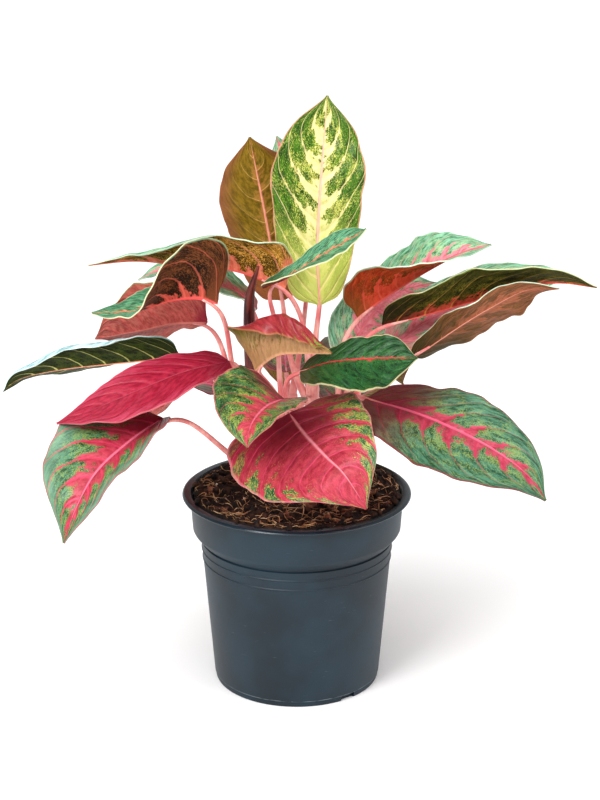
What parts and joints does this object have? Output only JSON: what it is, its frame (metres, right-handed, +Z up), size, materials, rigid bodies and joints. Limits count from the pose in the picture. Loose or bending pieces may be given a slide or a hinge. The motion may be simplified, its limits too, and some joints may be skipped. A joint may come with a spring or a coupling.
{
  "type": "potted chinese evergreen",
  "caption": "Chinese evergreen with broad pink, red and green variegated leaves on pink petioles, standing in soil in a tapered dark nursery pot.",
  "frame": {"origin": "centre of the underside of the pot, on the surface the pot stands on", "axes": "+Z up along the axis of the pot; -Y towards the side the picture was taken from; +X to the right in the picture"},
  "size_m": [0.4198, 0.311, 0.4361],
  "materials": {
    "pot_plastic": "satin, with a slightly glossier lip",
    "soil": "rough, crumbly",
    "pink_stem": "smooth, slightly waxy",
    "young_leaf": "smooth",
    "leaf_green": "satin",
    "leaf_yellow": "satin",
    "leaf_olive": "satin",
    "leaf_orange": "satin",
    "leaf_brown": "satin",
    "leaf_salmon": "satin",
    "leaf_crimson": "satin",
    "leaf_dark_green": "satin"
  },
  "bodies": {
    "root": {"pot": "pot_plastic", "soil": "soil", "cane_middle": "pink_stem", "cane_left": "pink_stem", "cane_right": "pink_stem", "cane_front": "pink_stem", "cane_rear": "pink_stem", "new_leaf": "young_leaf", "leaf_tall": "leaf_yellow", "leaf_tall_back": "leaf_olive", "leaf_left_high": "leaf_olive", "leaf_left_fold": "leaf_brown", "leaf_left_salmon": "leaf_salmon", "leaf_left_long": "leaf_dark_green", "leaf_left_crimson": "leaf_crimson", "leaf_left_low": "leaf_green", "leaf_middle_arched": "leaf_crimson", "leaf_middle_red_rib": "leaf_dark_green", "leaf_right_low": "leaf_green", "leaf_front": "leaf_crimson", "leaf_front_small": "leaf_green", "leaf_right_orange": "leaf_orange", "leaf_right_long": "leaf_olive", "leaf_right_salmon": "leaf_salmon", "leaf_right_behind": "leaf_green", "leaf_right_upright": "leaf_green", "leaf_middle_edge": "leaf_dark_green", "leaf_left_behind": "leaf_green", "leaf_rear_upright": "leaf_green", "leaf_rear_right": "leaf_green", "leaf_rear_middle": "leaf_green", "leaf_rear_left": "leaf_green", "leaf_rear_low": "leaf_green"}
  },
  "joints": []
}
